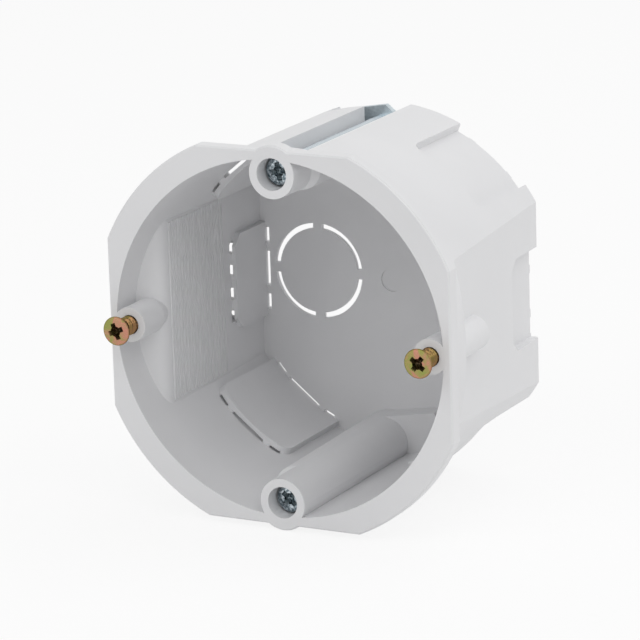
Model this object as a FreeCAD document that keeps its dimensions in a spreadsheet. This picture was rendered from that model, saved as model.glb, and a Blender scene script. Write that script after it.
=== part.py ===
import FreeCAD, Part
import os
import Sketcher
from FreeCAD import Placement, Rotation, Vector

# Round back box for a plasterboard wall.
# X runs to the right and Z up across the rim, +Y runs into the wall, and the
# origin is the centre of the rim's front face. Millimetres and degrees.

SIZES = {
    # barrel that fills the round hole in the board
    "body_radius": 33.7,
    "body_depth": 47.5,
    "back_edge": 0.5,
    "back_wall": 1.9,
    "barrel_wall": 1.5,
    "neck_depth": 6.9,
    "shoulder_depth": 9.9,
    "flat_front_inset": 3.5,
    "flat_back_inset": 4.65,
    # hollow of the barrel, with a thicker wall behind each flat
    "opening_inset": 1.1,
    "inner_neck_depth": 6.0,
    "inner_shoulder_depth": 8.8,
    "inner_shoulder_round": 3.0,
    "inner_flat_inset": 6.2,
    "ridge_start": 10.8,
    "ridge_pitch": 1.1,
    "ridge_count": 19,
    "ridge_width": 0.45,
    "ridge_height": 0.2,
    "ridge_half": 16.6,
    # rim that stops on the face of the board
    "rim_lip": 3.7,
    "rim_side_lip": 0.3,
    "rim_top_lip": 0.5,
    "rim_thickness": 2.8,
    "rim_edge": 0.3,
    "ear_radius": 5.2,
    # bosses for the two screws that hold the device
    "device_spacing": 60.0,
    "device_boss_radius": 3.2,
    "device_boss_depth": 17.5,
    "device_bore_depth": 16.5,
    "inner_boss_depth": 7.0,
    "inner_boss_fade": 5.0,
    # tubes and open channels for the two claws
    "claw_inset": 3.7,
    "tube_radius": 4.4,
    "tube_swell": 0.5,
    "head_bore_radius": 2.92,
    "head_bore_depth": 4.7,
    "channel_start": 6.0,
    "channel_radius": 2.95,
    "channel_shift": 1.25,
    "channel_lead": 2.0,
    # step in the back edge where a claw is parked
    "park_tilt": 9.5,
    "notch_rise": 5.4,
    "notch_wall": 1.3,
    "notch_clearance": 0.4,
    "notch_inside": 0.9,
    # thin plates that are knocked out for a cable
    "plate_wall": 1.05,
    "side_plate_step": 1.65,
    "side_plate_length": 12.1,
    "side_plate_half": 8.6,
    "side_plate_corner": 2.0,
    "side_plate_lap": 1.8,
    "side_plate_side_lap": 0.45,
    "side_slit_lead": 0.4,
    "side_slit_bite": 0.3,
    "side_slit_rise": 1.3,
    "corner_plate_length": 20.5,
    "corner_plate_angle": 50.9,
    "corner_plate_half": 14.3,
    "corner_plate_inset": 1.7,
    "corner_plate_round": 2.2,
    "corner_plate_lap": 2.3,
    "corner_plate_side_lap": 2.0,
    "corner_slit_lead": 0.2,
    "corner_slit_rise": 0.9,
    # dashes that are open along the edges of the plates
    "front_dash": 2.3,
    "front_dash_pitch": 4.4,
    "back_dash_half": 3.4,
    "back_dash_start": 4.95,
    "back_dash_end": 8.0,
    "corner_dash_half": 7.0,
    "corner_dash_start": 9.8,
    "corner_dash_end": 14.0,
    "back_slit_width": 1.3,
    "corner_slit_width": 1.1,
    "back_slit_depth": 2.3,
    "back_strip": 0.45,
    "back_strip_step": 0.3,
    # round knock-out in the back wall
    "disc_x": -15.3,
    "disc_z": 0.5,
    "disc_radius": 8.65,
    "disc_slit": 1.0,
    "disc_groove": 2.2,
    "disc_skin": 0.7,
    "disc_bridge": 1.9,
    "gate_radius": 2.2,
    "gate_depth": 0.25,
    # raised countersunk screws for the device
    "device_screw_stand": 5.15,
    "device_head_radius": 2.67,
    "device_head_flat": 1.75,
    "device_head_dome": 0.4,
    "device_head_edge": 0.2,
    "device_shank_radius": 1.75,
    "device_bore_play": 0.05,
    "device_screw_length": 16.0,
    # pan screws that draw the claws forward
    "claw_head_radius": 2.67,
    "claw_head_height": 2.0,
    "claw_head_edge": 0.5,
    "claw_shank_radius": 1.75,
    "claw_shank_play": 0.1,
    "claw_screw_inset": 1.0,
    "head_play": 0.05,
    "screw_tip": 0.5,
    "cross_length": 3.2,
    "cross_width": 0.8,
    "cross_depth": 1.3,
    # sheet steel claws
    "claw_length": 9.8,
    "claw_stop_side": 3.6,
    "claw_free_side": 2.4,
    "claw_heel": 2.4,
    "claw_heel_corner": 1.3,
    "claw_heel_clip": 1.55,
    "claw_tip_corner": 2.0,
    "claw_sheet": 1.2,
    "claw_tooth": 1.4,
    "claw_tooth_width": 1.2,
    "claw_gap": 0.4,
    "claw_collar_radius": 2.4,
    "claw_collar_length": 1.0,
    "claw_play": 0.05,
}

REACH = "(sizes.body_radius + sizes.rim_lip + 5)"
OVERRUN = "1"

doc = FreeCAD.newDocument("round_back_box")
sheet = doc.addObject("Spreadsheet::Sheet", "sizes")
for row, (alias, value) in enumerate(SIZES.items(), start=1):
    sheet.set("A%d" % row, alias.replace("_", " "))
    sheet.set("B%d" % row, str(value))
    sheet.setAlias("B%d" % row, alias)
doc.recompute()


def number(expression):
    """The present value of an expression on the sheet."""
    result = sheet.evalExpression(expression)
    return float(getattr(result, "Value", result))


def new_body(name):
    return doc.addObject("PartDesign::Body", name)


def origin_item(body, role):
    for item in body.Origin.OriginFeatures:
        if item.Role == role:
            return item
    raise ValueError("no origin feature " + role)


def place_sketch(sketch, offset, axis, turn):
    """Shift a sketch by three expressions and turn it about one of its own axes."""
    base = Vector(*[number(value) for value in offset])
    sketch.AttachmentOffset = Placement(base, Rotation(axis, number(turn)))
    for letter, value in zip("xyz", offset):
        sketch.setExpression("AttachmentOffset.Base." + letter, value)
    if turn != "0":
        sketch.setExpression("AttachmentOffset.Rotation.Angle", "(%s) * 1 deg" % turn)


def plane_sketch(body, name, role):
    sketch = body.newObject("Sketcher::SketchObject", name)
    sketch.AttachmentSupport = [(origin_item(body, role), "")]
    sketch.MapMode = "FlatFace"
    return sketch


def front_sketch(body, name, depth="0", x="0", z="0", turn="0"):
    """A sketch across the box at a depth, with its own origin at x, z, turned about it."""
    sketch = plane_sketch(body, name, "XZ_Plane")
    place_sketch(sketch, (x, z, "-(%s)" % depth), Vector(0, 0, 1), turn)
    return sketch


def radial_sketch(body, name, turn="0", x="0", z="0"):
    """A sketch along an axis at x, z: its own x is the distance from there, y the depth."""
    sketch = plane_sketch(body, name, "XY_Plane")
    place_sketch(sketch, (x, "0", z), Vector(0, -1, 0), turn)
    return sketch


def side_sketch(body, name, x, turn="0"):
    """A sketch across one side of the box: x is the depth and y the height."""
    sketch = plane_sketch(body, name, "YZ_Plane")
    side = "-1" if turn == "180" else "1"
    place_sketch(sketch, ("0", "0", "(%s) * %s" % (x, side)), Vector(1, 0, 0), turn)
    return sketch


def constrain(sketch, kind, where, expression):
    index = sketch.addConstraint(Sketcher.Constraint(kind, *where, number(expression)))
    sketch.setExpression("Constraints[%d]" % index, expression)


def bow(start, end, radius):
    """The arc from start to end with its centre on the left of the way there."""
    way = end.sub(start)
    rise = max(radius ** 2 - (way.Length / 2) ** 2, 0) ** 0.5
    left = Vector(-way.y, way.x, 0).normalize()
    full = Part.Circle((start + end) * 0.5 + left * rise, Vector(0, 0, 1), radius)
    return Part.ArcOfCircle(full, full.parameter(start), full.parameter(end))


def outline(sketch, corners, bows=None):
    """Draw a closed outline, anticlockwise, through corners given as pairs of expressions.

    bows names the radius of each edge that is an arc, by the number of the edge.
    """
    bows = bows or {}
    points = [Vector(number(x), number(y), 0) for x, y in corners]
    first = sketch.GeometryCount
    count = len(corners)
    for i, start in enumerate(points):
        end = points[(i + 1) % count]
        if i in bows:
            sketch.addGeometry(bow(start, end, number(bows[i])), False)
        else:
            sketch.addGeometry(Part.LineSegment(start, end), False)
    for i in range(count):
        after = (i + 1) % count
        sketch.addConstraint(Sketcher.Constraint("Coincident", first + i, 2, first + after, 1))
    for i, (x, y) in enumerate(corners):
        constrain(sketch, "DistanceX", (first + i, 1), x)
        constrain(sketch, "DistanceY", (first + i, 1), y)
    for i, radius in bows.items():
        constrain(sketch, "Radius", (first + i,), radius)


def circle(sketch, x, y, radius):
    edge = sketch.addGeometry(
        Part.Circle(Vector(number(x), number(y), 0), Vector(0, 0, 1), number(radius)), False)
    constrain(sketch, "DistanceX", (edge, 3), x)
    constrain(sketch, "DistanceY", (edge, 3), y)
    constrain(sketch, "Radius", (edge,), radius)


def rectangle(sketch, x0, x1, y0, y1):
    outline(sketch, [(x0, y0), (x1, y0), (x1, y1), (x0, y1)])


def extrude(body, sketch, kind, name, length, inward=True, both_ways=False):
    """Pad or pocket a sketch. Inward means towards +Y, or away from the axis on a side."""
    feature = body.newObject("PartDesign::" + kind, name)
    feature.Profile = sketch
    feature.setExpression("Length", length)
    if both_ways:
        feature.SideType = "Symmetric"
    else:
        along_normal = kind == "Pad"
        feature.Reversed = (along_normal == inward)
    return feature


def pad(body, sketch, name, length, **options):
    return extrude(body, sketch, "Pad", name, length, **options)


def pocket(body, sketch, name, length, **options):
    """A pocket, stopped if it takes nothing away."""
    doc.recompute()
    before = body.Shape.Volume
    feature = extrude(body, sketch, "Pocket", name, length, **options)
    doc.recompute()
    if not body.Shape.Volume < before - 0.001:
        raise ValueError("pocket %s cuts nothing" % name)
    return feature


def revolve(body, sketch, kind, name, angle="360"):
    feature = body.newObject("PartDesign::" + kind, name)
    feature.Profile = sketch
    feature.ReferenceAxis = (sketch, ["V_Axis"])
    feature.setExpression("Angle", "(%s) * 1 deg" % angle)
    if angle != "360":
        feature.Midplane = True
    return feature


def edges_at_depth(shape, depth, straight):
    """Names of the edges that lie wholly at one depth, or of the straight ones only."""
    names = []
    for i, edge in enumerate(shape.Edges, start=1):
        box = edge.BoundBox
        flat = abs(box.YMin - depth) < 0.001 and abs(box.YMax - depth) < 0.001
        if flat and not (straight and edge.Curve.TypeId != "Part::GeomLine"):
            names.append("Edge%d" % i)
    return names


def treat_edges(body, name, kind, size, depth, straight=False):
    doc.recompute()
    base = body.Tip
    feature = body.newObject("PartDesign::" + kind, name)
    feature.Base = (base, edges_at_depth(base.Shape, number(depth), straight))
    feature.setExpression("Radius" if kind == "Fillet" else "Size", size)


def mirrored_corners(corners):
    """The same corners on the other side of the axis, still anticlockwise."""
    return [("-(%s)" % x, y) for x, y in reversed(corners)]


# Where the middle of each corner plate lies, in degrees from +X towards +Z.
PLATE_TURNS = {
    "upper_right": "sizes.corner_plate_angle",
    "upper_left": "180 - sizes.corner_plate_angle",
    "lower_left": "180 + sizes.corner_plate_angle",
    "lower_right": "-sizes.corner_plate_angle",
}
HALF_TURNS = {"top": "0", "bottom": "180"}
SIDE_TURNS = {"right": "0", "left": "180"}

INNER_DEPTH = "(sizes.body_depth - sizes.back_wall)"
NOTCH_FLOOR = "(sizes.body_depth - sizes.notch_rise)"
INNER_FLAT = "(sizes.body_radius - sizes.inner_flat_inset)"
SIDE_PLATE_OUTSIDE = "(sizes.body_radius - sizes.flat_back_inset - sizes.side_plate_step)"
SIDE_PLATE_FRONT = "(sizes.body_depth - sizes.side_plate_length)"
CORNER_PLATE_OUTSIDE = "(sizes.body_radius - sizes.corner_plate_inset)"
CORNER_PLATE_FRONT = "(sizes.body_depth - sizes.corner_plate_length)"
CLAW_HEIGHT = "(sizes.body_radius - sizes.claw_inset)"
CLAW_FRONT = "(%s + sizes.claw_gap + sizes.claw_tooth)" % NOTCH_FLOOR
DEVICE_BORE = "sizes.device_shank_radius + sizes.device_bore_play"


def cut_flats(body, name, front, back, neck, shoulder, depth):
    """Cut both flat sides, from the neck past the shoulder to a depth."""
    corners = [("sizes.body_radius", neck), (REACH, neck), (REACH, depth), (back, depth),
               (front, shoulder)]
    sketch = radial_sketch(body, name + "_outline")
    outline(sketch, corners)
    outline(sketch, mirrored_corners(corners))
    pocket(body, sketch, name, "2 * (%s)" % REACH, both_ways=True)


def cut_corner_plates(body, name, radius, front, depth, half):
    """Cut a ring sector for each corner plate, from a radius outwards, its front corners round."""
    for place, turn in PLATE_TURNS.items():
        sketch = radial_sketch(body, "%s_%s_outline" % (name, place), turn)
        rectangle(sketch, radius, REACH, front, depth)
        revolve(body, sketch, "Groove", "%s_%s" % (name, place), "2 * (%s)" % half)
    treat_edges(body, name + "_rounding", "Fillet", "sizes.corner_plate_round", front, straight=True)


def cut_side_plates(body, name, x, front, depth, half, corner):
    """Cut the outline of each side plate, with two clipped corners, from x outwards."""
    for place, turn in SIDE_TURNS.items():
        sketch = side_sketch(body, "%s_%s_outline" % (name, place), x, turn)
        outline(sketch, [
            ("%s + %s" % (front, corner), "-(%s)" % half),
            (depth, "-(%s)" % half),
            (depth, half),
            ("%s + %s" % (front, corner), half),
            (front, "%s - %s" % (half, corner)),
            (front, "-(%s) + %s" % (half, corner)),
        ])
        pocket(body, sketch, "%s_%s" % (name, place), REACH, inward=False)


def cut_claw_step(body, name, floor, depth, inside, end):
    """Cut the step for each parked claw: x runs along the claw, y across it."""
    for place, turn in HALF_TURNS.items():
        sign = "-1" if turn == "180" else "1"
        sketch = front_sketch(body, "%s_%s_outline" % (name, place), floor, "0",
                              "%s * %s" % (sign, CLAW_HEIGHT),
                              "sizes.park_tilt + %s" % turn)
        rectangle(sketch, "-(%s)" % end, "0", "-(%s)" % inside, "sizes.claw_length")
        pocket(body, sketch, "%s_%s" % (name, place), "%s - (%s)" % (depth, floor))


def make_outside():
    """The outside of the moulding with every hole and recess, still solid within."""
    body = new_body("outside")

    barrel = front_sketch(body, "barrel_outline")
    circle(barrel, "0", "0", "sizes.body_radius")
    pad(body, barrel, "barrel", "sizes.body_depth")
    cut_flats(body, "side_flats", "sizes.body_radius - sizes.flat_front_inset",
              "sizes.body_radius - sizes.flat_back_inset", "sizes.neck_depth",
              "sizes.shoulder_depth", "sizes.body_depth")
    treat_edges(body, "back_bevel", "Chamfer", "sizes.back_edge", "sizes.body_depth")

    rim = front_sketch(body, "rim_outline")
    circle(rim, "0", "0", "sizes.body_radius + sizes.rim_lip")
    pad(body, rim, "rim", "sizes.rim_thickness")
    sides = front_sketch(body, "rim_sides_outline")
    rectangle(sides, "-" + REACH, REACH, "-" + REACH, REACH)
    half_width = "(sizes.body_radius + sizes.rim_side_lip)"
    half_height = "(sizes.body_radius + sizes.rim_top_lip)"
    rectangle(sides, "-" + half_width, half_width, "-" + half_height, half_height)
    pocket(body, sides, "rim_sides", "sizes.rim_thickness")

    ears = front_sketch(body, "ear_outlines")
    circle(ears, "0", CLAW_HEIGHT, "sizes.ear_radius")
    circle(ears, "0", "-" + CLAW_HEIGHT, "sizes.ear_radius")
    pad(body, ears, "ears", "sizes.rim_thickness")
    treat_edges(body, "rim_bevel", "Chamfer", "sizes.rim_edge", "0")

    bosses = front_sketch(body, "device_boss_outlines")
    for side in ("", "-"):
        circle(bosses, side + "sizes.device_spacing / 2", "0", "sizes.device_boss_radius")
    pad(body, bosses, "device_bosses", "sizes.device_boss_depth")
    bores = front_sketch(body, "device_bore_outlines")
    for side in ("", "-"):
        circle(bores, side + "sizes.device_spacing / 2", "0", DEVICE_BORE)
    pocket(body, bores, "device_bores", "sizes.device_bore_depth")

    heads = front_sketch(body, "head_bore_outlines")
    shanks = front_sketch(body, "shank_bore_outlines")
    for side in ("", "-"):
        circle(heads, "0", side + CLAW_HEIGHT, "sizes.head_bore_radius")
        circle(shanks, "0", side + CLAW_HEIGHT, "sizes.claw_shank_radius + sizes.claw_shank_play")
    pocket(body, heads, "head_bores", "sizes.head_bore_depth")
    pocket(body, shanks, "shank_bores", "sizes.channel_start + 1")

    right = "sizes.channel_shift + sizes.channel_radius"
    for place, turn in HALF_TURNS.items():
        sign = "-1" if turn == "180" else "1"
        channel = front_sketch(body, "channel_%s_outline" % place, "sizes.channel_start", "0",
                               "%s * %s" % (sign, CLAW_HEIGHT), turn)
        outline(channel, [
            ("-sizes.channel_radius", "0"), ("0", "-sizes.channel_radius"),
            ("sizes.channel_shift", "-sizes.channel_radius"), (right, "0"),
            (right, "sizes.claw_length"), ("-sizes.channel_radius", "sizes.claw_length"),
        ], {0: "sizes.channel_radius", 2: "sizes.channel_radius"})
        pocket(body, channel, "channel_" + place, "sizes.body_depth")
    cut_claw_step(body, "claw_notch", NOTCH_FLOOR, "sizes.body_depth + 1",
                  "sizes.claw_free_side + sizes.notch_inside",
                  "sizes.claw_length + sizes.notch_clearance")

    cut_corner_plates(body, "corner_recess", CORNER_PLATE_OUTSIDE, CORNER_PLATE_FRONT,
                      "sizes.body_depth + 1", "sizes.corner_plate_half")
    cut_side_plates(body, "side_recess", SIDE_PLATE_OUTSIDE, SIDE_PLATE_FRONT,
                    "sizes.body_depth + 1", "sizes.side_plate_half", "sizes.side_plate_corner")
    cut_slits(body)
    cut_disc(body)
    return body


def turned(x, y, turn):
    """A point turned about the box's axis, as a pair of expressions."""
    c, s = "cos((%s) * 1 deg)" % turn, "sin((%s) * 1 deg)" % turn
    return ("(%s) * %s - (%s) * %s" % (x, c, y, s), "(%s) * %s + (%s) * %s" % (x, s, y, c))


def slit(sketch, x0, x1, y0, y1, turn="0"):
    outline(sketch, [turned(x, y, turn) for x, y in ((x0, y0), (x1, y0), (x1, y1), (x0, y1))])


def corner_slits(sketch, inner, outer):
    """Three dashes on each corner plate, square to their own radius, between two offsets."""
    middle = "(sizes.corner_dash_start + sizes.corner_dash_end) / 2"
    end_half = "(sizes.corner_dash_end - sizes.corner_dash_start) / 2"
    for turn in PLATE_TURNS.values():
        for centre, half in (("-" + middle, end_half), ("0", "sizes.corner_dash_half"),
                             (middle, end_half)):
            rise = "%s * cos((%s) * 1 deg)" % (CORNER_PLATE_OUTSIDE, half)
            side = "%s * sin((%s) * 1 deg)" % (CORNER_PLATE_OUTSIDE, half)
            slit(sketch, "%s + (%s)" % (rise, inner), "%s + (%s)" % (rise, outer),
                 "-" + side, side, "%s + %s" % (turn, centre))


def back_dashes(body, name, depth, inner, corner_inner, outer):
    """Cut the dashes behind all six plates, between two offsets from a plate's outside."""
    sketch = front_sketch(body, name + "_outline", "sizes.body_depth - %s" % depth)
    corner_slits(sketch, corner_inner, outer)
    for turn in SIDE_TURNS.values():
        for low, high in (("-sizes.back_dash_end", "-sizes.back_dash_start"),
                          ("-sizes.back_dash_half", "sizes.back_dash_half"),
                          ("sizes.back_dash_start", "sizes.back_dash_end")):
            slit(sketch, "%s + (%s)" % (SIDE_PLATE_OUTSIDE, inner),
                 "%s + (%s)" % (SIDE_PLATE_OUTSIDE, outer), low, high, turn)
    pocket(body, sketch, name, "%s + 1" % depth)


def cut_slits(body):
    """Open the edges of the plates in dashes, so that thin bridges hold them.

    The front dashes run back into the recess under a skin, so the outside stays closed there.
    """
    lead = "sizes.side_slit_lead"
    front = front_sketch(body, "side_front_slits_outline",
                         "%s - sizes.side_plate_lap - %s" % (SIDE_PLATE_FRONT, lead))
    for turn in SIDE_TURNS.values():
        for place in (-1.5, -0.5, 0.5, 1.5):
            middle = "%s * sizes.front_dash_pitch" % place
            slit(front, "%s - sizes.side_slit_bite" % SIDE_PLATE_OUTSIDE,
                 "%s + sizes.side_slit_rise" % SIDE_PLATE_OUTSIDE,
                 middle + " - sizes.front_dash / 2", middle + " + sizes.front_dash / 2", turn)
    pocket(body, front, "side_front_slits", "sizes.side_plate_lap + 2 * " + lead)

    lead = "sizes.corner_slit_lead"
    corner = front_sketch(body, "corner_front_slits_outline",
                          "%s - sizes.corner_plate_lap - %s" % (CORNER_PLATE_FRONT, lead))
    corner_slits(corner, "0", "sizes.corner_slit_rise")
    pocket(body, corner, "corner_front_slits", "sizes.corner_plate_lap + 2 * " + lead)

    strip = "-sizes.back_strip"
    back_dashes(body, "back_slits", "sizes.back_slit_depth",
                strip + " - sizes.back_slit_width", strip + " - sizes.corner_slit_width", strip)
    within = strip + " - sizes.back_slit_width / 2"
    back_dashes(body, "back_steps", "sizes.back_strip_step", within, within, OVERRUN)


def cut_disc(body):
    """The round knock-out: a groove outside, a slit ring and four bridges."""
    x, z = "sizes.disc_x", "sizes.disc_z"
    groove = front_sketch(body, "disc_groove_outline", INNER_DEPTH + " + sizes.disc_skin", x, z)
    circle(groove, "0", "0", "sizes.disc_radius + sizes.disc_groove / 2")
    circle(groove, "0", "0", "sizes.disc_radius - sizes.disc_groove / 2")
    pocket(body, groove, "disc_groove", "sizes.back_wall")
    ring = front_sketch(body, "disc_slit_outline", INNER_DEPTH + " - 1", x, z)
    circle(ring, "0", "0", "sizes.disc_radius + sizes.disc_slit / 2")
    circle(ring, "0", "0", "sizes.disc_radius - sizes.disc_slit / 2")
    pocket(body, ring, "disc_slit", "sizes.back_wall + 2")
    bridges = front_sketch(body, "disc_bridge_outline", INNER_DEPTH + " - 1", x, z)
    half = "sizes.disc_bridge / 2"
    near, far = ("sizes.disc_radius %s sizes.disc_slit" % sign for sign in ("-", "+"))
    for turn in ("0", "90", "180", "270"):
        slit(bridges, near, far, "-" + half, half, turn)
    pad(body, bridges, "disc_bridges", "1 + sizes.disc_skin")


def cut_round(body, name, x, z, stations):
    """Take a round column out of the core: its stations are pairs of radius and depth."""
    sketch = radial_sketch(body, name + "_profile", "0", x, z)
    outline(sketch, [("0", stations[0][1])] + stations + [("0", stations[-1][1])])
    revolve(body, sketch, "Groove", name)


def make_core():
    """The hollow of the box as one solid: whatever is cut from it stays as plastic."""
    body = new_body("core")
    front, deep = "-2 * " + OVERRUN, INNER_DEPTH + " + 1"
    opening = "sizes.body_radius - sizes.opening_inset"
    profile = radial_sketch(body, "core_profile")
    outline(profile, [
        ("0", "-" + OVERRUN), (opening, "-" + OVERRUN), (opening, "0"),
        ("sizes.body_radius - sizes.barrel_wall", INNER_DEPTH), ("0", INNER_DEPTH),
    ])
    revolve(body, profile, "Revolution", "core_cone")
    cut_flats(body, "core_flats", INNER_FLAT, INNER_FLAT, "sizes.inner_neck_depth",
              "sizes.inner_shoulder_depth", INNER_DEPTH + " + 1")
    treat_edges(body, "inner_shoulders", "Fillet", "sizes.inner_shoulder_round",
                "sizes.inner_shoulder_depth", straight=True)

    ridge = radial_sketch(body, "ridge_outline")
    near, far = "(%s - sizes.ridge_height)" % INNER_FLAT, "(%s + %s)" % (INNER_FLAT, OVERRUN)
    for x0, x1 in ((near, far), ("-" + far, "-" + near)):
        rectangle(ridge, x0, x1, "sizes.ridge_start", "sizes.ridge_start + sizes.ridge_width")
    first = pocket(body, ridge, "ridge", "2 * sizes.ridge_half", both_ways=True)
    ridges = body.newObject("PartDesign::LinearPattern", "ridges")
    ridges.Originals = [first]
    ridges.Direction = (origin_item(body, "Y_Axis"), [""])
    ridges.setExpression("Length", "(sizes.ridge_count - 1) * sizes.ridge_pitch")
    ridges.setExpression("Occurrences", "sizes.ridge_count")
    body.Tip = ridges

    tube, wide = "sizes.tube_radius", "sizes.tube_radius + sizes.tube_swell"
    boss = "sizes.device_boss_radius"
    for place, sign in (("top", ""), ("bottom", "-")):
        cut_round(body, "tube_" + place, "0", sign + CLAW_HEIGHT, [(tube, front), (wide, deep)])
        cut_round(body, "tube_side_" + place, sign + "sizes.channel_shift", sign + CLAW_HEIGHT,
                  [("sizes.channel_shift", "sizes.channel_start - sizes.channel_lead"),
                   (tube, "sizes.channel_start + sizes.channel_lead"), (wide, deep)])
    for place, sign in (("right", ""), ("left", "-")):
        cut_round(body, "core_boss_" + place, sign + "sizes.device_spacing / 2", "0",
                  [(boss, front), (boss, "sizes.inner_boss_depth"),
                   (DEVICE_BORE, "sizes.inner_boss_depth + sizes.inner_boss_fade")])

    wall = "sizes.plate_wall"
    cut_corner_plates(body, "corner_plate", "%s - %s" % (CORNER_PLATE_OUTSIDE, wall),
                      CORNER_PLATE_FRONT + " - sizes.corner_plate_lap", deep,
                      "sizes.corner_plate_half + sizes.corner_plate_side_lap")
    cut_side_plates(body, "side_plate", "%s - %s" % (SIDE_PLATE_OUTSIDE, wall),
                    SIDE_PLATE_FRONT + " - sizes.side_plate_lap", deep,
                    "sizes.side_plate_half + sizes.side_plate_side_lap", "sizes.side_plate_corner")
    cut_claw_step(body, "claw_step", NOTCH_FLOOR + " - sizes.notch_wall", deep,
                  "sizes.claw_free_side + sizes.notch_inside + sizes.barrel_wall",
                  "sizes.claw_length + sizes.notch_clearance + sizes.notch_wall")

    gate = front_sketch(body, "gate_outline", INNER_DEPTH)
    circle(gate, "0", "0", "sizes.gate_radius")
    pad(body, gate, "gate_mark", "sizes.gate_depth")
    return body


def cross_recess(body, name):
    """A cross slot for the screwdriver, cut into the head from the front."""
    sketch = front_sketch(body, name + "_outline")
    arm, half = "sizes.cross_length / 2", "sizes.cross_width / 2"
    corners = []
    for turn in ("0", "90", "180", "270"):
        corners += [turned(arm, "-" + half, turn), turned(arm, half, turn), turned(half, half, turn)]
    outline(sketch, corners)
    pocket(body, sketch, name, "sizes.cross_depth")


def place_body(body, x, y, z, turn="0"):
    body.Placement = Placement(Vector(number(x), number(y), number(z)),
                               Rotation(Vector(0, 1, 0), number(turn)))
    for letter, value in zip("xyz", (x, y, z)):
        body.setExpression("Placement.Base." + letter, value)
    if turn != "0":
        body.setExpression("Placement.Rotation.Angle", "(%s) * 1 deg" % turn)


def make_device_screw(name, side):
    """A raised countersunk screw, its head standing off the rim."""
    body = new_body(name)
    profile = radial_sketch(body, name + "_profile")
    head, shank = "sizes.device_head_radius", "sizes.device_shank_radius"
    dome = "sizes.device_head_dome"
    under = "%s + sizes.device_head_edge" % dome
    outline(profile, [
        ("0", "0"), ("sizes.device_head_flat", "0"), (head, dome), (head, under),
        (shank, "%s + %s - %s" % (under, head, shank)),
        (shank, "sizes.device_screw_length - sizes.screw_tip"),
        (shank + " - sizes.screw_tip", "sizes.device_screw_length"),
        ("0", "sizes.device_screw_length"),
    ])
    revolve(body, profile, "Revolution", name + "_turned")
    cross_recess(body, name + "_cross")
    place_body(body, side + "sizes.device_spacing / 2", "-sizes.device_screw_stand", "0")
    return body


def make_claw_screw(name, side):
    """The pan screw that turns in the tube and carries a claw at its far end."""
    body = new_body(name)
    profile = radial_sketch(body, name + "_profile")
    head, shank = "sizes.claw_head_radius", "sizes.claw_shank_radius"
    edge, height = "sizes.claw_head_edge", "sizes.claw_head_height"
    front = "(sizes.head_bore_depth - sizes.head_play - %s)" % height
    length = "sizes.body_depth - sizes.claw_screw_inset - " + front
    outline(profile, [
        ("0", "0"), ("%s - %s" % (head, edge), "0"), (head, edge), (head, height),
        (shank, height), (shank, length + " - sizes.screw_tip"),
        (shank + " - sizes.screw_tip", length), ("0", length),
    ])
    revolve(body, profile, "Revolution", name + "_turned")
    cross_recess(body, name + "_cross")
    place_body(body, "0", front, side + CLAW_HEIGHT)
    return body


def make_claw(name, side, turn):
    """A stamped steel claw, drawn with its wing up and then parked."""
    body = new_body(name)
    blank = front_sketch(body, name + "_blank")
    stop, free, heel = "sizes.claw_stop_side", "-sizes.claw_free_side", "-sizes.claw_heel"
    clip, slope = "sizes.claw_heel_corner", "sizes.claw_heel_clip"
    tip, length = "sizes.claw_tip_corner", "sizes.claw_length"
    outline(blank, [
        ("%s + %s" % (free, slope), heel), ("%s - %s" % (stop, slope), heel),
        (stop, "%s + %s" % (heel, clip)), (stop, "%s - %s" % (length, tip)),
        ("%s - %s" % (stop, tip), length), (free, length), (free, "%s + %s" % (heel, clip)),
    ])
    pad(body, blank, name + "_sheet", "sizes.claw_sheet")
    collar = front_sketch(body, name + "_collar_outline")
    circle(collar, "0", "0", "sizes.claw_collar_radius")
    pad(body, collar, name + "_collar", "sizes.claw_sheet + sizes.claw_collar_length")
    tooth = front_sketch(body, name + "_tooth_outline", "-sizes.claw_tooth")
    rectangle(tooth, free, "%s - %s" % (stop, tip), "%s - sizes.claw_tooth_width" % length, length)
    pad(body, tooth, name + "_tooth", "sizes.claw_tooth + sizes.claw_sheet")
    hole = front_sketch(body, name + "_hole_outline")
    circle(hole, "0", "0", "sizes.claw_shank_radius + sizes.claw_play")
    pocket(body, hole, name + "_hole", "sizes.claw_sheet + sizes.claw_collar_length + 1")
    place_body(body, "0", CLAW_FRONT, side + CLAW_HEIGHT,
               "%s - 90 - sizes.park_tilt" % turn)
    return body


def make_back_box():
    """The moulding: its outside less the hollow."""
    moulding = doc.addObject("Part::Cut", "back_box")
    moulding.Base = make_outside()
    moulding.Tool = make_core()
    moulding.Refine = True
    return moulding


pieces = {"back_box": make_back_box()}
pieces["device_screw_right"] = make_device_screw("device_screw_right", "")
pieces["device_screw_left"] = make_device_screw("device_screw_left", "-")
pieces["claw_screw_top"] = make_claw_screw("claw_screw_top", "")
pieces["claw_screw_bottom"] = make_claw_screw("claw_screw_bottom", "-")
pieces["claw_top"] = make_claw("claw_top", "", "0")
pieces["claw_bottom"] = make_claw("claw_bottom", "-", "180")
doc.recompute()

for item in doc.Objects:
    if "Invalid" in item.State or "Error" in item.State:
        raise RuntimeError("%s did not build: %s" % (item.Name, item.State))
os.makedirs("parts", exist_ok=True)
for node, piece in pieces.items():
    piece.Label = node
    if piece.Shape.isNull() or not piece.Shape.isValid():
        raise RuntimeError(node + " has no valid shape")
    print("%-20s solids %d  volume %.1f mm3" % (node, len(piece.Shape.Solids), piece.Shape.Volume))
for node, piece in pieces.items():
    piece.Shape.exportStep("parts/%s.step" % node)
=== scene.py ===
# Round back box: the finish of each piece, the screws' threads, the light and the camera.
# Lengths in the dictionaries are millimetres unless they say metres, and the scene is metres.

import math

import bmesh
import bpy
from mathutils import Matrix, Vector


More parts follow.
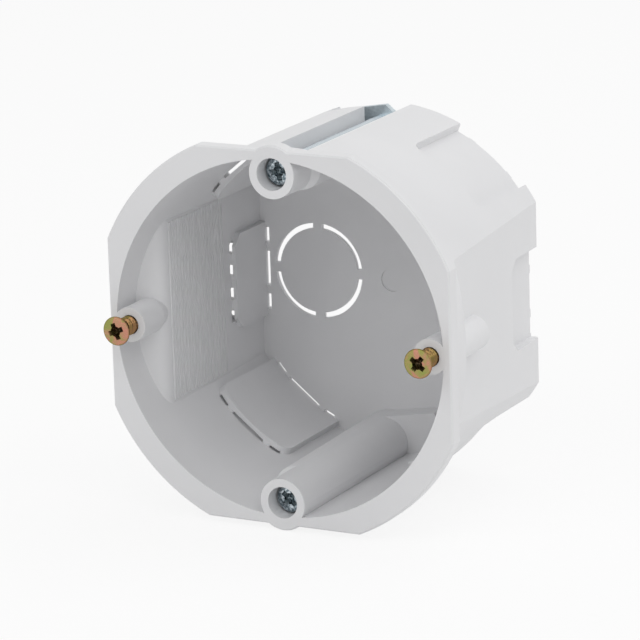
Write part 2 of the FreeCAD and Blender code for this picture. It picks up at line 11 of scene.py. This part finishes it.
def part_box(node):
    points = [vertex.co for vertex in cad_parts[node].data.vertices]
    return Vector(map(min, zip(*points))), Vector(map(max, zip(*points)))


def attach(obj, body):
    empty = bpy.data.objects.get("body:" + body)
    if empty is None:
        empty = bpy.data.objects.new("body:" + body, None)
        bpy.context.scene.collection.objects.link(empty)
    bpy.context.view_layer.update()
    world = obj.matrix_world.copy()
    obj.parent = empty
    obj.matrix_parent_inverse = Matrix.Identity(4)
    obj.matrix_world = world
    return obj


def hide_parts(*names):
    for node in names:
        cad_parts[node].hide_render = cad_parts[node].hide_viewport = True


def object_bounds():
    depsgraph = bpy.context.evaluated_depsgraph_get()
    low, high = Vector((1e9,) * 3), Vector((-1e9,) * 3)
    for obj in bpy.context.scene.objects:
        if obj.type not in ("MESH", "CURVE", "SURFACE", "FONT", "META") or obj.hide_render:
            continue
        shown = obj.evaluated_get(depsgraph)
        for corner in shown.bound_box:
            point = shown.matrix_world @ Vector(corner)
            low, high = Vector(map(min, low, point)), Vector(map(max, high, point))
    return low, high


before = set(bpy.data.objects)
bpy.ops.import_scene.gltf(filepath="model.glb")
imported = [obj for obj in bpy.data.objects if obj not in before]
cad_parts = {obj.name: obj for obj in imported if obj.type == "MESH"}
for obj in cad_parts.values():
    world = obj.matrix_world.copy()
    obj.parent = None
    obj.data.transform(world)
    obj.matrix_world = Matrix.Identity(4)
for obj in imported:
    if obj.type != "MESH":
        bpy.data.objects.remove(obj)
cadLow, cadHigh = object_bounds()
scene = bpy.context.scene
scene.view_settings.view_transform = "Standard"
mm = 0.001


# Shader maths

class Wire:
    # wraps one socket, so that maths on it reads as an expression
    def __init__(self, tree, socket):
        self.tree = tree
        self.socket = socket

    def work(self, operation, first, second):
        node = self.tree.nodes.new("ShaderNodeMath")
        node.operation = operation
        plug(self.tree, node.inputs[0], first)
        plug(self.tree, node.inputs[1], second)
        return Wire(self.tree, node.outputs[0])

    def __add__(self, other):
        return self.work("ADD", self, other)

    def __radd__(self, other):
        return self.work("ADD", other, self)

    def __sub__(self, other):
        return self.work("SUBTRACT", self, other)

    def __rsub__(self, other):
        return self.work("SUBTRACT", other, self)

    def __mul__(self, other):
        return self.work("MULTIPLY", self, other)

    def __rmul__(self, other):
        return self.work("MULTIPLY", other, self)


def plug(tree, socket, value):
    # a wire is linked, and anything else is the socket's own value
    if isinstance(value, Wire):
        tree.links.new(value.socket, socket)
    else:
        socket.default_value = value


class Finish:
    # the nodes of one material, or of the world
    def __init__(self, owner, output="ShaderNodeOutputMaterial"):
        self.owner = owner
        owner.use_nodes = True
        self.tree = owner.node_tree
        self.tree.nodes.clear()
        self.output = self.tree.nodes.new(output)

    def node(self, kind, settings=None, inputs=None, output=0):
        made = self.tree.nodes.new(kind)
        for name, value in (settings or {}).items():
            if name == "stops":
                value = list(value)
                stops = made.color_ramp.elements
                while len(stops) < len(value):
                    stops.new(0.5)
                for stop, (place, colour) in zip(stops, value):
                    stop.position = place
                    stop.color = (*colour, 1)
            else:
                setattr(made, name, value)
        for name, value in (inputs or {}).items():
            plug(self.tree, made.inputs[name], value)
        return Wire(self.tree, made.outputs[output])

    def place(self, kind="Object"):
        return self.node("ShaderNodeTexCoord", output=kind)

    def vectors(self, operation, first, second):
        return self.node("ShaderNodeVectorMath", {"operation": operation}, {0: first, 1: second})

    def noise(self, size, detail=3.0, roughness=0.5, place=None, distortion=0.0):
        # size is the width of one blotch in millimetres
        return self.node("ShaderNodeTexNoise", inputs={
            "Vector": place or self.place(), "Scale": 1 / (size * mm), "Detail": detail,
            "Roughness": roughness, "Distortion": distortion})

    def ramp(self, factor, stops):
        return self.node("ShaderNodeValToRGB", {"stops": stops}, {"Fac": factor})

    def spread(self, factor, low, high):
        # the share between low and high, from 0 to 1
        return self.node("ShaderNodeMapRange", {"clamp": True}, {
            "Value": factor, "From Min": low, "From Max": high})

    def blend(self, share, low, high):
        # the low colour where the share is 0 and the high one where it is 1
        return self.node("ShaderNodeMix", {"data_type": "RGBA"}, {0: share, 6: low, 7: high},
                         output=2)

    def bump(self, height, depth, under=None):
        inputs = {"Height": height, "Distance": depth * mm, "Strength": 1.0}
        if under is not None:
            inputs["Normal"] = under
        return self.node("ShaderNodeBump", inputs=inputs)

    def seen(self):
        # 1 for what the camera sees, straight or mirrored
        path = self.node("ShaderNodeLightPath").socket.node
        return (Wire(self.tree, path.outputs["Is Camera Ray"])
                + Wire(self.tree, path.outputs["Is Glossy Ray"]))

    def show(self, shader):
        self.tree.links.new(shader.socket, self.output.inputs["Surface"])
        return self.owner

    def surface(self, **inputs):
        return self.show(self.node("ShaderNodeBsdfPrincipled", inputs={
            name.replace("_", " "): value for name, value in inputs.items()}))


def dress(piece, material):
    piece.data.materials.clear()
    piece.data.materials.append(material)


def linked(name, mesh):
    # an object in the scene from a bmesh, which is freed
    data = bpy.data.meshes.new(name)
    mesh.to_mesh(data)
    mesh.free()
    made = bpy.data.objects.new(name, data)
    scene.collection.objects.link(made)
    return made


# Moulding

mouldingLook = {
    "light": (0.822, 0.822, 0.833),
    "dark": (0.788, 0.789, 0.801),
    "toLight": (0.3, 0.7),   # values of the noise between which dark turns light
    "blotch": 22.0,      # faint flow marks of the moulding
    "grain": 0.35,       # spark-eroded texture of the mould
    "grainDepth": 0.006,
    "wave": 7.0,         # very shallow sink over thick places
    "waveDepth": 0.02,
    "roughness": 0.42,
    "flowRoughness": 0.12,
    "grainRoughness": 0.1,
    "ior": 1.49,
    "specular": 0.42,
}


def makeMoulding():
    look = mouldingLook
    finish = Finish(bpy.data.materials.new("moulding"))
    flow = finish.noise(look["blotch"], detail=4, distortion=0.6)
    grain = finish.noise(look["grain"], detail=2, roughness=0.6)
    wave = finish.noise(look["wave"], detail=1)
    colour = finish.ramp(flow, zip(look["toLight"], (look["dark"], look["light"])))
    rough = (look["roughness"] + (flow - 0.5) * look["flowRoughness"]
             + (grain - 0.5) * look["grainRoughness"])
    soft = finish.bump(wave, look["waveDepth"])
    normal = finish.bump(grain, look["grainDepth"], soft)
    return finish.surface(Base_Color=colour, Roughness=rough, Normal=normal, IOR=look["ior"],
                          Specular_IOR_Level=look["specular"])


# Claws

clawLook = {
    "light": (0.58, 0.64, 0.67),
    "dark": (0.40, 0.455, 0.485),
    "toLight": (0.35, 0.62),
    "bloom": 3.0,        # cloudy patches of the zinc
    "bloomShare": 0.6,
    "grain": 0.5,        # rolling grain of the sheet, drawn out along Y
    "grainDraw": (1, 0.2, 1),
    "grainDepth": 0.01,
    "roughness": 0.34,
    "grainRoughness": 0.18,
}


def makeClawSteel():
    look = clawLook
    finish = Finish(bpy.data.materials.new("claw_zinc"))
    bloom = finish.noise(look["bloom"], detail=4, distortion=0.5)
    drawn = finish.vectors("MULTIPLY", finish.place(), look["grainDraw"])
    grain = finish.noise(look["grain"], detail=3, place=drawn)
    mixed = bloom * look["bloomShare"] + grain * (1 - look["bloomShare"])
    colour = finish.ramp(mixed, zip(look["toLight"], (look["dark"], look["light"])))
    normal = finish.bump(grain, look["grainDepth"])
    return finish.surface(Base_Color=colour, Metallic=1.0, Normal=normal,
                          Roughness=look["roughness"] + grain * look["grainRoughness"])


# What all four screws share

screwShape = {
    "sharp": 35,         # degrees: edges that turn by more stay sharp
    # the cross recess narrows in steps of depth, with its reach as a share of the full one
    "mouth": (-0.6, 1.12),
    "floorReach": 0.62,
    "tipReach": 0.16,
    # the thinner cross between its arms, as shares of the main one
    "rayReach": 0.62,
    "rayArm": 0.45,
    "rayDepth": 0.7,
    "rayTip": 0.9,
    # the thread's crest, as shares of the pitch and of the crest's height
    "crestHalf": 0.32,
    "crestFlat": 1.25,
    "crestLeast": 0.15,
}

# where the painted shade in the driver recess lies
recessShadeLook = {
    "from": (0.15, 0.45),    # depths over which its painted shade begins
    "to": (1.6, 1.75),       # and ends
    "side": 1.06,            # share of the reach over which it ends sideways
}


def screwParts(finish, head, length, reach):
    # from a screw's own box: the share across it, the depth and the distance from its axis
    # in mm, and 1 in the driver recess, where the painted shade goes
    place = finish.place("Generated")
    split = finish.node("ShaderNodeSeparateXYZ", inputs={0: place}).socket.node
    across, along = (Wire(finish.tree, output) for output in split.outputs[:2])
    depth = along * length
    centred = finish.vectors("SUBTRACT", place, (0.5, 0.5, 0.5))
    flat = finish.vectors("MULTIPLY", centred, (2 * head, 0, 2 * head))
    radius = finish.node("ShaderNodeVectorMath", {"operation": "LENGTH"}, {0: flat},
                         output="Value")
    inner = 1 - finish.spread(radius, reach, reach * recessShadeLook["side"])
    deep = finish.spread(depth, *recessShadeLook["from"])
    end = finish.spread(depth, *recessShadeLook["to"])
    return {"across": across, "depth": depth, "radius": radius,
            "recess": deep * inner * (1 - end)}


def lathe(name, rings, sides, radiusAt):
    # rings are (depth, radius) along +Y, and radiusAt moves a radius by its depth and angle
    mesh = bmesh.new()
    loops = []
    for depth, radius in rings:
        loop = []
        for side in range(sides):
            angle = 2 * math.pi * side / sides
            r = radiusAt(depth, radius, angle)
            x, z = r * math.cos(angle), r * math.sin(angle)
            loop.append(mesh.verts.new((x * mm, depth * mm, z * mm)))
        loops.append(loop)
    for near, far in zip(loops, loops[1:]):
        for side in range(sides):
            after = (side + 1) % sides
            mesh.faces.new((near[side], near[after], far[after], far[side]))
    front = mesh.verts.new((0, rings[0][0] * mm, 0))
    back = mesh.verts.new((0, rings[-1][0] * mm, 0))
    for side in range(sides):
        after = (side + 1) % sides
        mesh.faces.new((front, loops[0][after], loops[0][side]))
        mesh.faces.new((back, loops[-1][side], loops[-1][after]))
    bmesh.ops.recalc_face_normals(mesh, faces=mesh.faces)
    return linked(name, mesh)


def star(mesh, reach, arm, depth, tip, turn):
    # a closed cross that narrows towards its tip, its arms half as fast
    shape = screwShape
    steps = (shape["mouth"], (0.0, 1.0), (depth, shape["floorReach"]), (tip, shape["tipReach"]))
    levels = []
    for y, scale in steps:
        loop = []
        half = arm / 2 * (0.5 + 0.5 * scale)
        for quarter in range(4):
            angle = math.radians(turn) + quarter * math.pi / 2
            for x, z in ((reach * scale, -half), (reach * scale, half), (half, half)):
                u = x * math.cos(angle) - z * math.sin(angle)
                v = x * math.sin(angle) + z * math.cos(angle)
                loop.append(mesh.verts.new((u * mm, y * mm, v * mm)))
        levels.append(loop)
    count = len(levels[0])
    for near, far in zip(levels, levels[1:]):
        for i in range(count):
            after = (i + 1) % count
            mesh.faces.new((near[i], near[after], far[after], far[i]))
    mesh.faces.new(levels[0])
    mesh.faces.new(levels[-1])


def crossCutter(recess, turn):
    # a tapered cross and a thinner, shallower one between its arms
    shape = screwShape
    mesh = bmesh.new()
    star(mesh, recess["reach"], recess["arm"], recess["depth"], recess["tip"], turn)
    star(mesh, recess["reach"] * shape["rayReach"], recess["arm"] * shape["rayArm"],
         recess["depth"] * shape["rayDepth"], recess["depth"] * shape["rayTip"], turn + 45)
    bmesh.ops.recalc_face_normals(mesh, faces=mesh.faces)
    return linked("cross_cutter", mesh)


def cutRecess(screw, recess, turn):
    cutter = crossCutter(recess, turn)
    modifier = screw.modifiers.new("recess", "BOOLEAN")
    modifier.object = cutter
    modifier.operation = "DIFFERENCE"
    modifier.solver = "EXACT"
    modifier.use_self = True
    cut = bpy.data.meshes.new_from_object(
        screw.evaluated_get(bpy.context.evaluated_depsgraph_get()))
    screw.modifiers.clear()
    screw.data = cut
    bpy.data.objects.remove(cutter)


def smoothBy(piece, degrees):
    # smooth shading, but sharp at edges that turn by more than this
    mesh = bmesh.new()
    mesh.from_mesh(piece.data)
    limit = math.radians(degrees)
    for face in mesh.faces:
        face.smooth = True
    for edge in mesh.edges:
        edge.smooth = len(edge.link_faces) == 2 and edge.calc_face_angle(0) < limit
    mesh.to_mesh(piece.data)
    mesh.free()


def threadOn(start, end, shape):
    # the radius of a thread: a narrow crest on a wide root, fading out at both ends
    crestShape = screwShape
    pitch, major, minor = shape["pitch"], shape["shank"], shape["root"]

    def radiusAt(depth, radius, angle):
        if radius != major or not start <= depth <= end:
            return radius
        turn = (depth / pitch - angle / (2 * math.pi)) % 1
        crest = max(0.0, 1 - abs(turn - 0.5) / crestShape["crestHalf"])
        crest = min(1.0, crest * crestShape["crestFlat"])
        fade = min(1.0, (depth - start) / shape["runOut"], (end - depth) / shape["runOut"])
        return minor + (major - minor) * crest * max(crestShape["crestLeast"], fade)
    return radiusAt


def threadRings(start, end, shape):
    count = int((end - start) / shape["pitch"] * shape["steps"])
    return [(start + (end - start) * i / count, shape["shank"]) for i in range(count + 1)]


def endRings(length, shape):
    # the blunt end, in two steps
    return [(length - shape["tip"], shape["root"] * shape["points"][0]),
            (length, shape["root"] * shape["points"][1])]


def seatScrew(screw, node, recess, turn, material):
    # cuts the driver recess, and puts the screw where its CAD node is
    cutRecess(screw, recess, recess["turn"] + turn)
    smoothBy(screw, screwShape["sharp"])
    low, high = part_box(node)
    axis = ((low.x + high.x) / 2, low.y, (low.z + high.z) / 2)
    screw.data.transform(Matrix.Translation(axis))
    dress(screw, material)
    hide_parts(node)
    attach(screw, node)


# Device screws

deviceScrewShape = {
    "head": 2.67, "dome": 0.4, "rim": 0.2, "neck": 1.42, "domeRings": 12, "underRings": 6,
    "domeEnd": 0.97, "turnIn": 0.992, "under": 0.985,    # shares of the head at its edge
    "lip": 0.005, "bevel": 0.05,                         # depths of the same edge
    "shank": 1.75, "root": 1.28, "pitch": 1.3, "runOut": 0.8, "length": 16.0,
    "lead": 0.15, "blunt": 0.5, "tip": 0.25,     # plain neck, and the two steps of the end
    "points": (0.75, 0.4),                       # shares of the root at those steps
    "sides": 56, "steps": 14,                    # round the screw, and in each turn of thread
    "recess": {"reach": 1.62, "arm": 0.95, "depth": 1.0, "tip": 1.5, "turn": 22},
}

passivateLook = {
    "stops": [(0.34, (0.30, 0.32, 0.09)), (0.46, (0.38, 0.30, 0.12)), (0.54, (0.46, 0.27, 0.15)),
              (0.63, (0.56, 0.25, 0.18)), (0.76, (0.42, 0.29, 0.15))],
    "patch": 2.2,            # width of one patch of the tint
    "lean": 0.22,            # how far the rose side lies to the right
    # painted shade in the driver recess, near black
    "recess": (0.10, 0.07, 0.03, 1),
    "recessShadeShare": 0.9,
    "recessShadeDull": 0.45,      # how much less metallic the recess is, to keep its painted shade dark
    # painted shade down the shank, under the head
    "shank": (0.15, 0.095, 0.028, 1),
    "shankFrom": (1.2, 2.2),     # depths over which the shank's painted shade begins
    "shankShadeShare": 0.8,
    "edge": 0.26,            # width of the painted shade along the edge of the head
    "edgeShadeShare": 0.75,
    "fine": 0.22,            # fine grain of the plating
    "fineDepth": 0.012,
    "roughness": 0.2,
    "fineRoughness": 0.16,
    "shankGloss": 0.1,
}


def makePassivate():
    look = passivateLook
    shape = deviceScrewShape
    finish = Finish(bpy.data.materials.new("yellow_passivate"))
    parts = screwParts(finish, shape["head"], shape["length"], shape["recess"]["reach"])
    patch = finish.noise(look["patch"], detail=2, distortion=0.8)
    fine = finish.noise(look["fine"], detail=3)
    tint = finish.ramp(patch + (parts["across"] - 0.5) * look["lean"], look["stops"])
    # painted shade down the shank, under the head
    shank = finish.spread(parts["depth"], *look["shankFrom"])
    # painted shade along the edge of the head
    edge = finish.spread(parts["radius"], shape["head"] - look["edge"], shape["head"])
    dark = shank * look["shankShadeShare"] + edge * look["edgeShadeShare"]
    shaded = finish.blend(dark, tint, look["shank"])
    # painted shade in the driver recess, which is also made less metallic
    colour = finish.blend(parts["recess"] * look["recessShadeShare"], shaded, look["recess"])
    normal = finish.bump(fine * (1 - shank), look["fineDepth"])
    rough = look["roughness"] + fine * look["fineRoughness"] - shank * look["shankGloss"]
    return finish.surface(Base_Color=colour, Metallic=1 - parts["recess"] * look["recessShadeDull"],
                          Roughness=rough, Normal=normal)


def deviceHead(shape):
    # a shallow dome, a thin edge, and the countersunk underside down to the neck
    head, dome, rim, neck = shape["head"], shape["dome"], shape["rim"], shape["neck"]
    edge, bevel = head * shape["under"], shape["bevel"]
    radius = (head ** 2 + dome ** 2) / (2 * dome)
    rings = []
    for i in range(1, shape["domeRings"] + 1):
        r = head * shape["domeEnd"] * i / shape["domeRings"]
        rings.append((radius - math.sqrt(radius ** 2 - r ** 2), r))
    rings += [(dome - shape["lip"], head * shape["turnIn"]), (dome + bevel, head),
              (dome + rim - bevel, head), (dome + rim, edge)]
    under = head - neck
    for i in range(1, shape["underRings"] + 1):
        share = i / shape["underRings"]
        rings.append((dome + rim + under * share, edge - (edge - neck) * share))
    return rings, dome + rim + under


def makeDeviceScrew(node, turn):
    shape = deviceScrewShape
    length = shape["length"]
    rings, depth = deviceHead(shape)
    start, end = depth + shape["lead"], length - shape["blunt"]
    rings += threadRings(start, end, shape)
    rings += endRings(length, shape)
    screw = lathe(node + "_threaded", rings, shape["sides"], threadOn(start, end, shape))
    seatScrew(screw, node, shape["recess"], turn, passivate)


# Claw screws

clawScrewShape = {
    "head": 2.67, "round": 0.7, "height": 2.0, "flatRings": 6, "roundRings": 8,
    "shank": 1.98, "root": 1.94, "pitch": 0.6, "runOut": 0.6,
    "bevel": 0.05, "fillet": 0.02,           # under the head, at its edge and at the neck
    "neck": 1.75, "plain": 1.4, "lead": 0.01,    # the plain stretch in the tube's bore
    "blunt": 0.6, "tip": 0.2,                # the two steps of the end
    "points": (0.85, 0.6),                   # shares of the root at those steps
    "sides": 40, "steps": 7,                 # round the screw, and in each turn of thread
    "recess": {"reach": 1.65, "arm": 1.0, "depth": 0.95, "tip": 1.45, "turn": 10},
}

zincLook = {
    # the head's tints: painted dark as a painted reflection of dark surroundings, with light
    # flecks as painted sparkle
    "stops": [(0.36, (0.10, 0.135, 0.155)), (0.50, (0.27, 0.32, 0.35)),
              (0.62, (0.62, 0.68, 0.72))],
    "shank": (0.56, 0.62, 0.66, 1),
    "shankFrom": (2.0, 2.6),     # depths over which the head's painted darkness gives way to the shank's own colour
    # painted shade in the driver recess, a flat grey that is partly dull
    "recess": (0.40, 0.47, 0.50, 1),
    "recessShadeShare": 0.85,
    "recessShadeDull": 0.6,       # how much less metallic the recess is, under its painted shade
    "spangle": 0.55,         # width of one fleck: a real spangle in the bump, painted sparkle in the colour
    "spangleDepth": 0.06,
    "shankSmooth": 0.9,      # how much of the sparkle's depth the shank loses
    "roughness": 0.16,
    "spangleRoughness": 0.1,
}


def makeZinc():
    # bright plating: the head painted dark as a painted reflection, with painted sparkle over a
    # real bumpy spangle, painted shade in the recess, and clean down the shank
    look = zincLook
    shape = clawScrewShape
    finish = Finish(bpy.data.materials.new("bright_zinc"))
    low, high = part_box("claw_screw_top")
    parts = screwParts(finish, shape["head"], (high.y - low.y) / mm, shape["recess"]["reach"])
    spangle = finish.noise(look["spangle"], detail=3, roughness=0.65)
    # painted reflection and painted sparkle on the head, giving way to the shank's own colour
    tint = finish.ramp(spangle, look["stops"])
    shank = finish.spread(parts["depth"], *look["shankFrom"])
    shaded = finish.blend(shank, tint, look["shank"])
    # painted shade in the driver recess, which is also made less metallic
    colour = finish.blend(parts["recess"] * look["recessShadeShare"], shaded, look["recess"])
    normal = finish.bump(spangle * (1 - shank * look["shankSmooth"]), look["spangleDepth"])
    rough = look["roughness"] + (spangle - shank) * look["spangleRoughness"]
    return finish.surface(Base_Color=colour, Metallic=1 - parts["recess"] * look["recessShadeDull"],
                          Roughness=rough, Normal=normal)


def makeClawScrew(node, turn):
    # a pan head with a rounded edge, then the long thread down the channel
    shape = clawScrewShape
    low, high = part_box(node)
    length = (high.y - low.y) / mm
    head, rounding, height, neck = shape["head"], shape["round"], shape["height"], shape["neck"]
    flat, inner = shape["flatRings"], head - rounding
    bevel, fillet = shape["bevel"], shape["fillet"]
    rings = [(0.0, inner * i / flat) for i in range(1, flat + 1)]
    for i in range(1, shape["roundRings"] + 1):
        angle = math.pi / 2 * i / shape["roundRings"]
        rings.append((rounding * (1 - math.cos(angle)), inner + rounding * math.sin(angle)))
    start, end = height + shape["plain"], length - shape["blunt"]
    rings += [(height - bevel, head), (height, head - bevel), (height, neck + fillet),
              (height + fillet, neck), (start - shape["lead"], neck)]
    rings += threadRings(start, end, shape)
    rings += endRings(length, shape)
    screw = lathe(node + "_threaded", rings, shape["sides"], threadOn(start, end, shape))
    seatScrew(screw, node, shape["recess"], turn, zinc)


moulding = makeMoulding()
passivate = makePassivate()
zinc = makeZinc()
clawSteel = makeClawSteel()
print("finishes made")

makeDeviceScrew("device_screw_left", 0)
makeDeviceScrew("device_screw_right", 31)
makeClawScrew("claw_screw_top", 0)
makeClawScrew("claw_screw_bottom", 40)
print("screws made")

dress(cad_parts["back_box"], moulding)
for name in ("claw_top", "claw_bottom"):
    dress(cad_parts[name], clawSteel)
print("moulding and claws dressed")


# Floor, light and camera

stageLook = {
    "floor": (0.93, 0.93, 0.93, 1),
    "floorSize": 6.0,        # metres
    "floorGap": 0.2,         # below the part
    "glow": 0.86,            # share of plain white that the camera sees on the floor
    "world": 0.45,           # light that the world gives
    "backdrop": 0.96,        # its brightness where it is seen or mirrored
    "lights": [
        # place and width in metres, and watts
        ((0.75, -0.65, 1.05), 0.9, 3.2),
        ((-0.35, -1.0, 0.85), 0.9, 3.3),
        ((0.9, 0.45, 0.7), 0.8, 2.5),
        ((0.15, 0.35, 1.2), 0.7, 2.2),
    ],
}


def makeFloor():
    look = stageLook
    mesh = bmesh.new()
    bmesh.ops.create_grid(mesh, x_segments=1, y_segments=1, size=look["floorSize"] / 2)
    floor = linked("floor", mesh)
    floor.location = (0, 0, cadLow.z - look["floorGap"] * mm)
    finish = Finish(bpy.data.materials.new("floor"))
    diffuse = finish.node("ShaderNodeBsdfDiffuse", inputs={"Color": look["floor"]})
    white = finish.node("ShaderNodeEmission", inputs={"Color": (1, 1, 1, 1), "Strength": 1.0})
    mixed = finish.node("ShaderNodeMixShader",
                        inputs={0: finish.seen() * look["glow"], 1: diffuse, 2: white})
    dress(floor, finish.show(mixed))


def makeLights():
    for number, (place, width, watts) in enumerate(stageLook["lights"]):
        data = bpy.data.lights.new("softbox_%d" % number, "AREA")
        data.shape = "SQUARE"
        data.size = width
        data.energy = watts
        lamp = bpy.data.objects.new(data.name, data)
        scene.collection.objects.link(lamp)
        lamp.location = place
        lamp.rotation_mode = "QUATERNION"
        lamp.rotation_quaternion = (-Vector(place)).to_track_quat("-Z", "Y")


def makeWorld():
    finish = Finish(bpy.data.worlds.new("studio"), "ShaderNodeOutputWorld")
    level, backdrop = stageLook["world"], stageLook["backdrop"]
    strength = level + finish.seen() * (backdrop - level)
    scene.world = finish.show(finish.node("ShaderNodeBackground", inputs={
        "Color": (1, 1, 1, 1), "Strength": strength}))


cameraLook = {
    "place": (320.93, -590.16, 182.41),
    "right": (0.88728, 0.46022, -0.03045),
    "up": (-0.09243, 0.24212, 0.96583),
    "lens": 222.0,
    "sensor": 36.0,
    "clip": (0.05, 20),      # metres
}


def makeCamera():
    look = cameraLook
    data = bpy.data.cameras.new("camera")
    data.lens = look["lens"]
    data.sensor_width = look["sensor"]
    data.clip_start, data.clip_end = look["clip"]
    camera = bpy.data.objects.new("camera", data)
    scene.collection.objects.link(camera)
    right = Vector(look["right"]).normalized()
    back = right.cross(Vector(look["up"])).normalized()
    turn = Matrix((right, back.cross(right), back)).transposed()
    camera.matrix_world = Matrix.Translation(Vector(look["place"]) * mm) @ turn.to_4x4()
    scene.camera = camera


makeFloor()
makeLights()
makeWorld()
makeCamera()
print("stage made")
